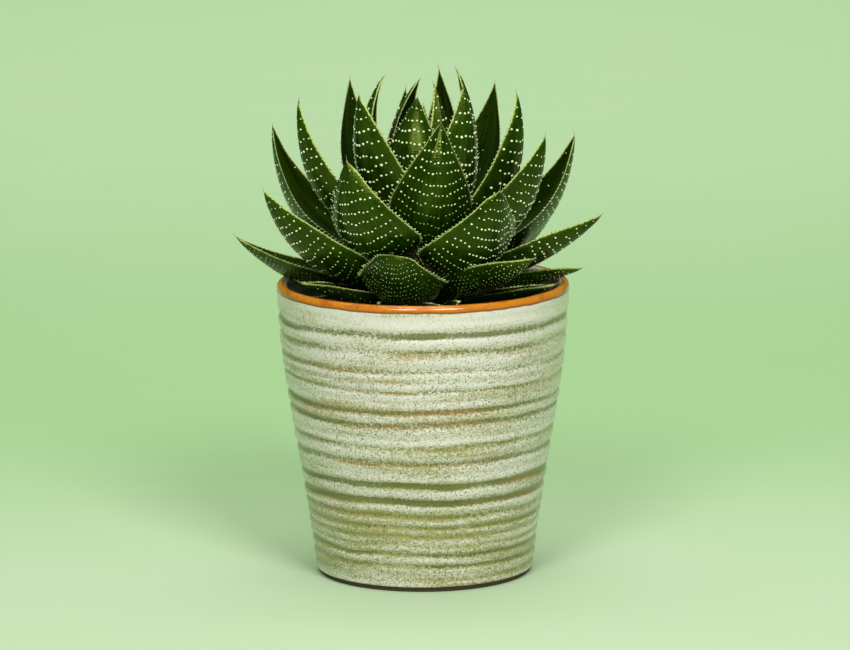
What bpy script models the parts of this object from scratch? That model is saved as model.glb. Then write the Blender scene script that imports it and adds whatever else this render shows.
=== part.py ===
"""A lace aloe in a tapered glazed pot: metres, +Z up, origin at the middle of the pot's foot."""

import math

import bmesh
import bpy
from mathutils import Quaternion, Vector

MM = 0.001

# Pot. Heights are above the surface it stands on.
POT_HEIGHT = 131 * MM
RIM_RADIUS = 65 * MM
FOOT_RADIUS = 48.5 * MM
WALL = 4.5 * MM
FLOOR_THICKNESS = 7 * MM
FOOT_HEIGHT = 2.3 * MM
FOOT_INSET = 1 * MM
FOOT_BEVEL = 0.8 * MM
POT_SIDES = 64
# How far the wall has opened from foot to rim, at a share of the height: steep at both ends.
WALL_FLARE = ((0.05, 0.04), (0.12, 0.10), (0.33, 0.36), (0.6, 0.71), (0.8, 0.92), (0.95, 1.0))

# What fills it.
CLEARANCE = 0.4 * MM
SOIL_BELOW_RIM = 14 * MM
SOIL_LEVEL = POT_HEIGHT - SOIL_BELOW_RIM
STEM_IN_SOIL = 14 * MM
STEM_ABOVE_SOIL = 44 * MM
STEM_STRAIGHT = 14 * MM
STEM_RADIUS = 8 * MM
STEM_TOP_RADIUS = 3.5 * MM
STEM_SIDES = 24

# Leaves: every section is a crescent, hollow on the upper side and keeled on the lower.
LEAF_THICKNESS = 3.4 * MM
MARGIN_THICKNESS = 0.5 * MM
CHANNEL = 0.5
UPPER_SHARE = 0.25
# Along the leaf: place, share of the full width, share of the full thickness. The tip follows at 1.
LEAF_OUTLINE = (
    (0.00, 0.30, 0.55),
    (0.10, 0.46, 0.70),
    (0.22, 0.76, 0.90),
    (0.36, 1.00, 1.00),
    (0.50, 0.95, 0.95),
    (0.64, 0.78, 0.82),
    (0.77, 0.54, 0.62),
    (0.88, 0.28, 0.42),
    (0.96, 0.10, 0.22),
)
# The place of the widest section. Past it, a blunt leaf keeps more of its width.
WIDEST = 0.36
# Across the leaf, as shares of the half width from the middle line.
SECTION = (-1.0, -0.55, 0.0, 0.55, 1.0)

# Leaves, outermost first: turn, base, reach, tip, width, bow, sweep, roll, blunt.
# turn: degrees about the stem from the front (-Y), positive to the right (+X).
# base, tip: heights above the potting mix. reach: from the stem's axis to the tip.
# width: across the widest place. bow: how far the middle hangs outside the straight line, as a share
# of the length. sweep: how far the tip leans sideways. roll: how far the blade has turned about itself
# at the tip, in degrees. blunt: 1 for a leaf that narrows evenly, more for one that stays broad nearly
# to its tip. Lengths are in millimetres.
LEAVES = {
    # lying over the potting mix
    "skirt_leaf": (
        (15, 3, 52, 11, 15, 0.02, 0, 0, 1),
        (-22, 3, 50, 9, 16, 0.02, 0, 0, 1),
        (-61, 2, 62, 19, 20, 0.02, 0, 0, 1),
        (-88, 2, 60, 6, 13, 0.01, 0, 0, 1),
        (64, 2, 65, 17, 16, 0.02, 0, 0, 1),
        (-119, 2, 58, 9, 15, 0.03, 0, 0, 1),
        (-149, 2, 58, 9, 15, 0.03, 0, 0, 1),
        (179, 2, 58, 9, 16, 0.03, 0, 0, 1),
        (146, 2, 58, 9, 16, 0.03, 0, 0, 1),
        (113, 2, 58, 7, 15, 0.02, 0, 0, 1),
    ),
    # leaning out past the rim
    "outer_leaf": (
        (-18, 9.5, 50, 34, 39.5, 0.24, 2, 0, 2.2),
        (42, 5, 72, 33, 30, 0.03, 0, -14, 1),
        (94, 6, 71, 18, 21.5, 0.01, 0, -15, 1.2),
        (-98, 10, 84, 32, 32, 0.12, 0, 8, 1.1),
        (-128, 14, 77, 25, 15, 0.03, 0, 0, 1),
        (-154, 8, 74, 31, 23, 0.12, 0, 0, 1),
        (180, 13, 76, 36, 17, 0.10, 0, 0, 1),
        (150, 7, 74, 30, 27, 0.10, 0, 0, 1),
    ),
    # the broad leaves
    "middle_leaf": (
        (81, 12.5, 80, 45, 29.5, 0.075, 0, -20, 1.1),
        (120, 16, 72, 46, 21, 0.14, 0, 0, 1),
        (34, 17, 60, 62, 47, 0.21, 0, 0, 1.35),
        (-67.5, 13, 75, 59, 38, 0.155, 0, 14, 1.15),
        (-40, 21, 51, 74, 47.5, 0.24, 0, 0, 1.25),
        (-153, 20, 68, 65, 23.5, 0.18, 0, 0, 1),
        (178, 23, 66, 71, 22, 0.17, 0, 0, 1),
        (150, 18, 72, 59, 26.5, 0.16, 0, 0, 1),
        (-110, 19.5, 71, 80, 35.5, 0.215, 0, 0, 1.1),
        (109, 21, 72, 75, 38, 0.21, 0, 0, 1.1),
        (60, 22.5, 62, 83, 39, 0.165, 0, 0, 1.1),
        (179, 25, 48, 85, 24, 0.18, 0, 0, 1),
        (7, 24, 28, 89, 37, 0.2, 5, 0, 1.1),
        (-71, 28, 57, 98, 28, 0.178, 0, 4, 1),
        (138, 27, 49, 97, 30, 0.14, 0, 0, 1),
        (-140, 29, 50, 99, 29, 0.2, 0, 0, 1),
    ),
    # the upright ones
    "inner_leaf": (
        (76, 28, 43, 99, 31, 0.175, 0, -13, 1),
        (-47, 31, 37.5, 101, 32, 0.11, 0, 0, 1.1),
        (40, 31, 28, 104, 28, 0.13, 0, 0, 1),
        (-18, 34.5, 6, 97, 31, 0.17, 0, 0, 1.15),
        (-160, 32, 21, 97, 22, 0.18, 0, 0, 1),
        (107, 34, 16, 108, 16, 0.14, 0, 0, 1),
        (-99, 35, 17, 105, 22, 0.185, 0, 0, 1),
        (156, 36, 19, 106, 20, 0.16, 0, 0, 1),
        (44, 37, 7.5, 103, 15.5, 0.1, 0, 0, 1),
        (-125, 38, 1, 104, 20, 0.16, 0, 0, 1),
    ),
    # the youngest, still closed round the growing point
    "heart_leaf": (
        (15, 43, 2, 86, 10, 0.06, 0, 0, 1),
        (135, 43, 2, 90, 10, 0.06, 0, 0, 1),
        (-105, 43, 2, 80, 10, 0.06, 0, 0, 1),
    ),
}


def new_object(name, mesh, material):
    made = bpy.data.objects.new(name, mesh)
    made.data.materials.append(material)
    collection.objects.link(made)
    return made


def new_material(name, colour, roughness):
    made = bpy.data.materials.new(name)
    made.use_nodes = True
    shader = made.node_tree.nodes["Principled BSDF"]
    shader.inputs["Base Color"].default_value = (*colour, 1)
    shader.inputs["Roughness"].default_value = roughness
    return made


def turned(name, profile, sides, material):
    """A solid of revolution from (radius, height) points that run up the inside and down the outside."""
    mesh = bpy.data.meshes.new(name)
    edges = [(i, i + 1) for i in range(len(profile) - 1)]
    mesh.from_pydata([(radius, 0, height) for radius, height in profile], edges, [])
    made = new_object(name, mesh, material)
    screw = made.modifiers.new("Turn", "SCREW")
    screw.steps = screw.render_steps = sides
    screw.use_merge_vertices = True
    screw.merge_threshold = 0.01 * MM
    screw.use_smooth_shade = True
    return made


def wall_radius(height):
    """The pot's outer radius at a height."""
    share = height / POT_HEIGHT
    places = [(0.0, 0.0), *WALL_FLARE, (1.0, 1.0)]
    for (low, narrow), (high, wide) in zip(places, places[1:]):
        if share <= high:
            flare = narrow + (wide - narrow) * (share - low) / (high - low)
            return FOOT_RADIUS + (RIM_RADIUS - FOOT_RADIUS) * flare
    return RIM_RADIUS


def pot_profile():
    shoulder = POT_HEIGHT - WALL / 2
    heights = [share * POT_HEIGHT for share, _ in WALL_FLARE]
    inner = [(0, FLOOR_THICKNESS), (wall_radius(FLOOR_THICKNESS) - WALL, FLOOR_THICKNESS)]
    inner += [(wall_radius(z) - WALL, z) for z in heights if z > FLOOR_THICKNESS]
    rim_middle = RIM_RADIUS - WALL / 2
    rim = []
    for step in range(9):
        angle = math.pi * (1 - step / 8)
        rim.append((rim_middle + WALL / 2 * math.cos(angle), shoulder + WALL / 2 * math.sin(angle)))
    outer = [(wall_radius(z), z) for z in reversed(heights) if z > FOOT_HEIGHT]
    foot_radius = FOOT_RADIUS - FOOT_INSET
    foot = [
        (wall_radius(FOOT_HEIGHT), FOOT_HEIGHT),
        (foot_radius, FOOT_HEIGHT),
        (foot_radius, FOOT_BEVEL),
        (foot_radius - FOOT_BEVEL, 0),
        (0, 0),
    ]
    return inner + rim + outer + foot


def soil_profile():
    floor = FLOOR_THICKNESS + CLEARANCE
    pit_radius = STEM_RADIUS + CLEARANCE
    heights = [share * POT_HEIGHT for share, _ in WALL_FLARE]
    side = [z for z in reversed(heights) if floor < z < SOIL_LEVEL]
    inset = WALL + 2 * CLEARANCE
    pit_floor = SOIL_LEVEL - STEM_IN_SOIL
    points = [(0, pit_floor), (pit_radius, pit_floor), (pit_radius, SOIL_LEVEL)]
    points += [(wall_radius(z) - inset, z) for z in [SOIL_LEVEL, *side, floor]]
    return points + [(0, floor)]


def stem_profile():
    foot = SOIL_LEVEL - STEM_IN_SOIL + CLEARANCE
    top = SOIL_LEVEL + STEM_ABOVE_SOIL
    return [
        (0, top),
        (STEM_TOP_RADIUS, top - STEM_TOP_RADIUS / 2),
        (STEM_RADIUS, SOIL_LEVEL + STEM_STRAIGHT),
        (STEM_RADIUS, foot),
        (0, foot),
    ]


def stem_radius(height):
    """The stem's radius at a height above the potting mix."""
    share = min(max((height - STEM_STRAIGHT) / (STEM_ABOVE_SOIL - STEM_STRAIGHT), 0), 1)
    return STEM_RADIUS + (STEM_TOP_RADIUS - STEM_RADIUS) * share


def leaf_section(width, thickness, channel):
    """(across, up) points round a crescent: over the upper side, then back along the lower."""
    upper, lower = [], []
    for across in SECTION:
        middle = channel * width / 2 * across**2
        body = MARGIN_THICKNESS + (thickness - MARGIN_THICKNESS) * (1 - across**2)
        at = across * width / 2
        if abs(across) == 1:
            upper.append((at, middle))
            continue
        upper.append((at, middle + UPPER_SHARE * body))
        lower.append((at, middle - (1 - UPPER_SHARE) * body))
    return upper + lower[::-1]


def leaf(name, turn, base, reach, tip, width, bow, sweep, roll, blunt, material):
    base, reach, tip, width, sweep = (v * MM for v in (base, reach, tip, width, sweep))
    outward = Vector((math.sin(math.radians(turn)), -math.cos(math.radians(turn)), 0))
    aside = Vector((math.cos(math.radians(turn)), math.sin(math.radians(turn)), 0))
    up = Vector((0, 0, 1))
    ground = up * SOIL_LEVEL
    inner = stem_radius(base) + LEAF_THICKNESS
    start = ground + up * base + outward * inner
    end = ground + up * tip + outward * reach
    chord = end - start
    hang = aside.cross(chord).normalized()
    if hang.dot(outward) < 0:
        hang.negate()
    belly = (start + end) / 2 + hang * chord.length * bow * 2

    def place(t):
        line = start * (1 - t) ** 2 + belly * 2 * t * (1 - t) + end * t**2
        return line + aside * sweep * t**2

    def along(t):
        return (place(t + 0.01) - place(t - 0.01)).normalized()

    shape = bmesh.new()
    rings = []
    for t, width_share, thickness_share in LEAF_OUTLINE:
        if t > WIDEST:
            width_share **= 1 / blunt
        forward = along(t)
        side = (aside - forward * aside.dot(forward)).normalized()
        side = Quaternion(forward, math.radians(roll * t)) @ side
        upper = side.cross(forward)
        if upper.dot(up - outward) < 0:
            upper.negate()
        section = leaf_section(width * width_share, LEAF_THICKNESS * thickness_share, CHANNEL)
        rings.append([shape.verts.new(place(t) + side * x + upper * y) for x, y in section])
    count = len(rings[0])
    for near, far in zip(rings, rings[1:]):
        for i in range(count):
            j = (i + 1) % count
            shape.faces.new((near[i], near[j], far[j], far[i]))
    point = shape.verts.new(end + aside * sweep)
    for i in range(count):
        shape.faces.new((rings[-1][i], rings[-1][(i + 1) % count], point))
    shape.faces.new(rings[0][::-1])
    bmesh.ops.recalc_face_normals(shape, faces=shape.faces)
    mesh = bpy.data.meshes.new(name)
    shape.to_mesh(mesh)
    shape.free()
    mesh.shade_smooth()
    return new_object(name, mesh, material)


for old in list(bpy.data.objects):
    bpy.data.objects.remove(old, do_unlink=True)
collection = bpy.data.collections.new("potted_aloe")
bpy.context.scene.collection.children.link(collection)

glaze = new_material("glaze", (0.62, 0.68, 0.52), 0.3)
soil = new_material("potting_mix", (0.05, 0.035, 0.025), 0.95)
stalk = new_material("stem", (0.35, 0.45, 0.18), 0.6)
flesh = new_material("leaf", (0.06, 0.16, 0.03), 0.35)

turned("pot", pot_profile(), POT_SIDES, glaze)
turned("potting_mix", soil_profile(), POT_SIDES, soil)
turned("stem", stem_profile(), STEM_SIDES, stalk)
for tier, rows in LEAVES.items():
    for number, row in enumerate(rows, 1):
        leaf(f"{tier}_{number:02d}", *row, flesh)
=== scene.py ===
# %% [markdown]
# # A lace aloe in a thrown stoneware pot
# The plant is a rosette: some fifty stiff, pointed leaves on a stem that hardly shows, each one set
# about a third of a turn on from the last. The pot was thrown on a wheel and dipped in a glaze that
# runs thin on its ridges and thick in its grooves. The frame holds a plain solid for each piece. Every
# step below measures one of those solids and makes the fine mesh and the finish that stand for it.

# %% Load the frame
import math
import random

import bmesh
import bpy
import numpy as np
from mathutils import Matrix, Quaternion, Vector


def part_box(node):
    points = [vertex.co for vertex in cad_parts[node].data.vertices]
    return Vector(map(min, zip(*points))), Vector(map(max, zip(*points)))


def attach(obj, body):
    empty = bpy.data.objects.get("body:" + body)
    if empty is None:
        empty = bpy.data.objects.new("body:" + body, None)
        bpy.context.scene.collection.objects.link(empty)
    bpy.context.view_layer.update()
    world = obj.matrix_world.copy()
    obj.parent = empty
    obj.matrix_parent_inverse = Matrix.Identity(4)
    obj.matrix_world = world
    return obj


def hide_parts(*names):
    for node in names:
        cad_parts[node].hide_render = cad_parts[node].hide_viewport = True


MM = 0.001
UP = Vector((0, 0, 1))
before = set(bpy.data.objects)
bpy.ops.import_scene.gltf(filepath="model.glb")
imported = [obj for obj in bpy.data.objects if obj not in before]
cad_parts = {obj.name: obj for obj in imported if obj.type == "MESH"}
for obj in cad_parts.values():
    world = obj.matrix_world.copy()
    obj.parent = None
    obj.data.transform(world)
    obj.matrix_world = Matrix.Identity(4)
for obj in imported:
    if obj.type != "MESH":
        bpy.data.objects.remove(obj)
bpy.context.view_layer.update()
scene = bpy.context.scene
pot_low, pot_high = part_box("pot")
soil_low, soil_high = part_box("potting_mix")
print("pot", round(pot_high.z / MM, 1), "mm tall, soil", round((pot_high.z - soil_high.z) / MM, 1), "mm down")

# %% [markdown]
# ## Camera, floor and light
# A long lens from far off keeps the pot's sides nearly parallel, as in product pictures. The camera
# looks slightly down, so that the rim reads as a flat ellipse and the leaves fan out above it. The
# floor is one wide sheet of pale green paper that runs on behind the pot as far as the view goes.

# %% Camera
CAMERA_PLACE = Vector((0, -2.350, 0.5567))
CAMERA_TARGET = Vector((0.0008, 0, 0.1107))
CAMERA_ROLL = math.radians(-0.37)
LENS = 227.7


def aim(thing, target, roll=0.0):
    """Turns a camera or a lamp at its place towards a point."""
    turn = (target - thing.location).to_track_quat("-Z", "Y")
    thing.rotation_euler = (turn @ Quaternion((0, 0, 1), roll)).to_euler()


lens = bpy.data.cameras.new("long_lens")
lens.lens = LENS
lens.sensor_width = 36
lens.clip_start = 0.05
lens.clip_end = 60
camera = bpy.data.objects.new("camera", lens)
camera.location = CAMERA_PLACE
scene.collection.objects.link(camera)
aim(camera, CAMERA_TARGET, CAMERA_ROLL)
scene.camera = camera
scene.view_settings.view_transform = "Standard"
scene.view_settings.look = "None"
print("camera", round((CAMERA_PLACE - CAMERA_TARGET).length, 2), "m from the pot")

# %% [markdown]
# ### Helpers for node trees
# Materials and Geometry Nodes are both trees, so a few short functions serve them both. `put` adds a
# node, sets its properties and fills its inputs: a socket given as an input is linked, anything else
# becomes the input's own value.


# %% Node helpers
def put(tree, kind, inputs=None, **settings):
    """A new node. inputs maps a socket's name or number to a value or to the socket that feeds it."""
    made = tree.nodes.new(kind)
    for name, value in settings.items():
        setattr(made, name, value)
    for name, value in (inputs or {}).items():
        if isinstance(value, bpy.types.NodeSocket):
            tree.links.new(value, made.inputs[name])
        else:
            made.inputs[name].default_value = value
    return made


def sum_of(tree, operation, a, b=0.0, clamp=False):
    """One step of arithmetic."""
    return put(tree, "ShaderNodeMath", {0: a, 1: b}, operation=operation, use_clamp=clamp).outputs[0]


def vector_of(tree, operation, a, b=(0.0, 0.0, 0.0)):
    return put(tree, "ShaderNodeVectorMath", {0: a, 1: b}, operation=operation).outputs[0]


def spread(tree, value, low, high, to_low=0.0, to_high=1.0, smooth=True):
    """Maps low..high to to_low..to_high and stops at both ends."""
    inputs = {0: value, 1: low, 2: high, 3: to_low, 4: to_high}
    kind = "SMOOTHSTEP" if smooth else "LINEAR"
    return put(tree, "ShaderNodeMapRange", inputs, interpolation_type=kind).outputs[0]


def grain(tree, place, scale, detail=3.0, rough=0.55):
    """Noise between 0 and 1. scale is per metre."""
    inputs = {"Vector": place, "Scale": scale, "Detail": detail, "Roughness": rough}
    return put(tree, "ShaderNodeTexNoise", inputs).outputs[0]


def blend_colour(tree, share, first, second, kind="MIX"):
    made = put(tree, "ShaderNodeMix", {0: share}, data_type="RGBA", blend_type=kind)
    for number, value in ((6, first), (7, second)):
        if isinstance(value, bpy.types.NodeSocket):
            tree.links.new(value, made.inputs[number])
        else:
            made.inputs[number].default_value = (*value, 1)
    return made.outputs[2]


def named(tree, name):
    """A number that the mesh carries, by its name."""
    return put(tree, "ShaderNodeAttribute", attribute_name=name).outputs["Fac"]


def new_finish(name, **sockets):
    """A material with one Principled shader, and that shader's own plain values."""
    made = bpy.data.materials.new(name)
    made.use_nodes = True
    shader = made.node_tree.nodes["Principled BSDF"]
    for socket, value in sockets.items():
        shader.inputs[socket.replace("_", " ")].default_value = value
    return made, made.node_tree, shader


def object_place(tree, stretch=(1.0, 1.0, 1.0)):
    """The point on the piece, in metres, with its axes stretched so that a pattern shrinks along them."""
    place = put(tree, "ShaderNodeTexCoord").outputs["Object"]
    return vector_of(tree, "MULTIPLY", place, stretch)


def raise_grain(tree, shader, *layers):
    """Stacks bumps: each layer is (height socket, distance in metres, strength)."""
    normal = None
    for height, distance, strength in layers:
        inputs = {"Height": height, "Distance": distance, "Strength": strength}
        if normal:
            inputs["Normal"] = normal
        normal = put(tree, "ShaderNodeBump", inputs).outputs[0]
    tree.links.new(normal, shader.inputs["Normal"])


# %% Floor and air
FLOOR_HALF_WIDTH = 14.0
PAPER_PALE = (0.575, 0.685, 0.495)
PAPER_PAINTED_SHADE = (0.44, 0.625, 0.34)
AIR_GREEN = (0.38, 0.94, 0.29)
AIR_STRENGTH = 0.29

sheet_shape = bmesh.new()
bmesh.ops.create_grid(sheet_shape, x_segments=1, y_segments=1, size=FLOOR_HALF_WIDTH)
sheet_mesh = bpy.data.meshes.new("paper_floor")
sheet_shape.to_mesh(sheet_mesh)
sheet_shape.free()
floor = bpy.data.objects.new("paper_floor", sheet_mesh)
scene.collection.objects.link(floor)
paper, tree, shader = new_finish("paper", Roughness=0.85, Specular_IOR_Level=0.2)
# Painted shade: the paper is coloured darker and greener in a band from just in front of the pot to well behind it,
# then partly paler again far off.
away = put(tree, "ShaderNodeSeparateXYZ", {0: object_place(tree)}).outputs[1]
painted_shade = sum_of(tree, "MULTIPLY", spread(tree, away, -0.03, 0.36), spread(tree, away, 0.40, 1.25, 1.0, 0.4))
cloudy = spread(tree, grain(tree, object_place(tree), 9.0), 0.3, 0.7, -0.04, 0.04)
painted_shade = sum_of(tree, "ADD", painted_shade, cloudy, clamp=True)
tree.links.new(blend_colour(tree, painted_shade, PAPER_PALE, PAPER_PAINTED_SHADE), shader.inputs["Base Color"])
raise_grain(tree, shader, (grain(tree, object_place(tree), 1500.0), 0.1 * MM, 0.2))
sheet_mesh.materials.append(paper)

air = bpy.data.worlds.new("air")
air.use_nodes = True
air.node_tree.nodes["Background"].inputs["Color"].default_value = (*AIR_GREEN, 1)
air.node_tree.nodes["Background"].inputs["Strength"].default_value = AIR_STRENGTH
scene.world = air
print("floor", 2 * FLOOR_HALF_WIDTH, "m wide")

# %% Soft lamps
# name: place, point aimed at, size across, watts, beam angle in degrees. All are square.
PLANT_MIDDLE = (0, 0, 0.12)
LAMP_WHITE = (1.0, 0.97, 0.98)
LAMPS = {
    "left_box": ((-0.40, -1.35, 1.30), PLANT_MIDDLE, 0.5, 13.0, 180),
    "right_box": ((0.46, -1.28, 1.25), PLANT_MIDDLE, 0.5, 16.5, 180),
    "top_box": ((0.00, -0.15, 1.35), PLANT_MIDDLE, 0.4, 2.0, 180),
    "far_wash": ((0, 1.9, 2.4), (0, 1.9, 0), 3.0, 23.0, 85),
}
for name, (place, target, size, watts, beam) in LAMPS.items():
    lamp = bpy.data.lights.new(name, "AREA")
    lamp.shape = "SQUARE"
    lamp.size = size
    lamp.energy = watts
    lamp.spread = math.radians(beam)
    lamp.color = LAMP_WHITE
    lamp_object = bpy.data.objects.new(name, lamp)
    lamp_object.location = place
    lamp_object.visible_camera = False
    scene.collection.objects.link(lamp_object)
    aim(lamp_object, Vector(target))
print(len(LAMPS), "lamps")

# %% [markdown]
# ## Running a Geometry Nodes tree
# What repeats on this object (throwing rings, grit, the lace of pale bumps, the teeth) is grown by
# Geometry Nodes trees that the script builds. A tree is tried on a plain mesh through a modifier, and
# the evaluated result is copied back as a plain mesh, so nothing live is left on a finished piece.


# %% Tree helpers
def new_tree(name, **inputs):
    """A Geometry Nodes group with named inputs: float, int or Material, by the default's type."""
    tree = bpy.data.node_groups.new(name, "GeometryNodeTree")
    tree.interface.new_socket("Geometry", in_out="INPUT", socket_type="NodeSocketGeometry")
    tree.interface.new_socket("Geometry", in_out="OUTPUT", socket_type="NodeSocketGeometry")
    kinds = {float: "NodeSocketFloat", int: "NodeSocketInt"}
    for label, default in inputs.items():
        socket = tree.interface.new_socket(
            label.replace("_", " "), in_out="INPUT", socket_type=kinds.get(type(default), "NodeSocketMaterial")
        )
        if type(default) in kinds:
            socket.default_value = default
    return tree, tree.nodes.new("NodeGroupInput").outputs


def end_tree(tree, geometry):
    end = tree.nodes.new("NodeGroupOutput")
    tree.links.new(geometry, end.inputs[0])


def named_in(tree, name, kind="FLOAT"):
    """A value that the mesh carries, by its name, inside a Geometry Nodes tree."""
    return put(tree, "GeometryNodeInputNamedAttribute", {"Name": name}, data_type=kind).outputs[0]


def instances_made_real(tree, geometry, material):
    real = put(tree, "GeometryNodeRealizeInstances", {0: geometry}).outputs[0]
    smooth = put(tree, "GeometryNodeSetShadeSmooth", {0: real}).outputs[0]
    return put(tree, "GeometryNodeSetMaterial", {0: smooth, "Material": material}).outputs[0]


def grown(piece, tree, **values):
    """Runs the tree on the piece, with its inputs set by identifier, and keeps the result as plain mesh."""
    modifier = piece.modifiers.new(tree.name, "NODES")
    modifier.node_group = tree
    wanted = {label.replace("_", " "): value for label, value in values.items()}
    for item in tree.interface.items_tree:
        if item.in_out == "INPUT" and item.name in wanted:
            modifier[item.identifier] = wanted[item.name]
    bpy.context.view_layer.update()
    graph = bpy.context.evaluated_depsgraph_get()
    mesh = bpy.data.meshes.new_from_object(piece.evaluated_get(graph))
    mesh.name = piece.name
    piece.modifiers.remove(modifier)
    piece.data = mesh
    return piece


def new_piece(name, points, faces, *materials):
    """A piece at the origin from points and faces, shaded smooth."""
    mesh = bpy.data.meshes.new(name)
    mesh.from_pydata([tuple(p) for p in points], [], faces)
    for material in materials:
        mesh.materials.append(material)
    mesh.polygons.foreach_set("use_smooth", [True] * len(mesh.polygons))
    made = bpy.data.objects.new(name, mesh)
    scene.collection.objects.link(made)
    return made


def carry(mesh, name, values, kind="FLOAT"):
    """Stores one number or vector for each point of a mesh."""
    layer = mesh.attributes.new(name, kind, "POINT")
    field = "vector" if kind == "FLOAT_VECTOR" else "value"
    layer.data.foreach_set(field, np.asarray(values, np.float32).ravel())


def turned(profile, columns):
    """Points and faces of a closed turned solid from (radius, height), from top middle to foot middle."""
    angles = np.arange(columns) * 2 * math.pi / columns
    body = np.array(profile[1:-1])
    points = [
        (radius * math.cos(a), radius * math.sin(a), height) for radius, height in body for a in angles
    ]
    faces = []
    for row in range(len(body) - 1):
        for i in range(columns):
            j = (i + 1) % columns
            here, below = row * columns, (row + 1) * columns
            faces.append((here + i, below + i, below + j, here + j))
    top, foot = len(points), len(points) + 1
    points += [(0, 0, profile[0][1]), (0, 0, profile[-1][1])]
    last = (len(body) - 1) * columns
    for i in range(columns):
        j = (i + 1) % columns
        faces.append((top, i, j))
        faces.append((foot, last + j, last + i))
    return points, faces


# %% [markdown]
# ## The pot
# A potter opens a lump of clay on the wheel, pulls the wall up between the fingers and leaves their
# spiral grooves in it. It could be one smooth turned form with the grooves painted on, but they catch
# the light and break the outline, so they are real here. The profile is turned first. A Geometry
# Nodes tree then presses the grooves in: a Float Curve holds the grooves' heights, and slow noise
# makes each one wander up and down and fade as it goes round.

# %% Pot profile
POT_COLUMNS = 224
WALL_STEP = 0.65 * MM
LIP_STEPS = 12
points = np.array([v.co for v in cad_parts["pot"].data.vertices])
radii = np.hypot(points[:, 0], points[:, 1])
levels = np.unique(points[:, 2].round(5))
outer = np.array([radii[np.isclose(points[:, 2], z, atol=0.01 * MM)].max() for z in levels])
on_wall = (outer >= np.maximum.accumulate(outer) - 1e-6) & (levels > 1.5 * MM)
wall_curve = np.poly1d(np.polyfit(levels[on_wall], outer[on_wall], 4))
foot_radius = outer[levels < 1.5 * MM].max()
foot_height = levels[on_wall].min()
rim_radius = outer.max()
rim_height = pot_high.z
inner_top = radii[(points[:, 2] > rim_height - 3 * MM)].min()
wall = rim_radius - inner_top
lip_height = rim_height - wall / 2


def pot_profile():
    """From the middle of the floor inside, up the inner wall, over the lip, down outside and under."""
    floor_height = 7 * MM
    inside = np.linspace(floor_height, soil_high.z - 6 * MM, 6).tolist()
    inside += np.arange(soil_high.z - 4 * MM, lip_height - 0.5 * MM, 1.2 * MM).tolist()
    profile = [(0, floor_height)] + [(min(wall_curve(z), rim_radius) - wall, z) for z in inside]
    middle = rim_radius - wall / 2
    for step in range(LIP_STEPS + 1):
        turn = math.pi * (1 - step / LIP_STEPS)
        profile.append((middle + wall / 2 * math.cos(turn), lip_height + wall / 2 * math.sin(turn)))
    outside = np.arange(lip_height - WALL_STEP, foot_height, -WALL_STEP).tolist()
    profile += [(min(wall_curve(z), rim_radius), z) for z in outside]
    glaze_end = wall_curve(foot_height)
    profile += [(glaze_end - 0.25 * MM, foot_height), (foot_radius, foot_height + 0.05 * MM)]
    profile += [(foot_radius, 0.9 * MM), (foot_radius - 0.3 * MM, 0.3 * MM), (foot_radius - 1 * MM, 0)]
    return profile + [(foot_radius * 0.7, 0), (0, 0)]


pot_points, pot_faces = turned(pot_profile(), POT_COLUMNS)
pot_faces = [face[::-1] for face in pot_faces]
print("wall", round(wall / MM, 2), "mm, rim radius", round(rim_radius / MM, 2), "mm,", len(pot_faces), "faces")

# %% Throwing rings
# Height above the foot in mm, and how deep each groove is pressed, as a share of the deepest.
GROOVES = (
    (6.2, 0.5), (11.9, 0.7), (17.1, 0.8), (21.4, 0.5), (25.4, 0.6), (29.9, 0.7), (35.0, 0.7),
    (41.2, 1.0), (49.1, 1.0), (54.0, 0.3), (59.2, 0.8), (66.9, 0.7), (70.9, 0.4), (77.4, 0.9),
    (83.2, 0.9), (88.4, 0.4), (92.6, 0.7), (96.8, 0.4), (101.0, 0.7), (110.2, 0.7), (117.4, 0.9),
    (125.4, 0.4),
)  # fmt: skip
GROOVE_DEPTH = 1.0 * MM
WANDER = 1.3 * MM


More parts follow.
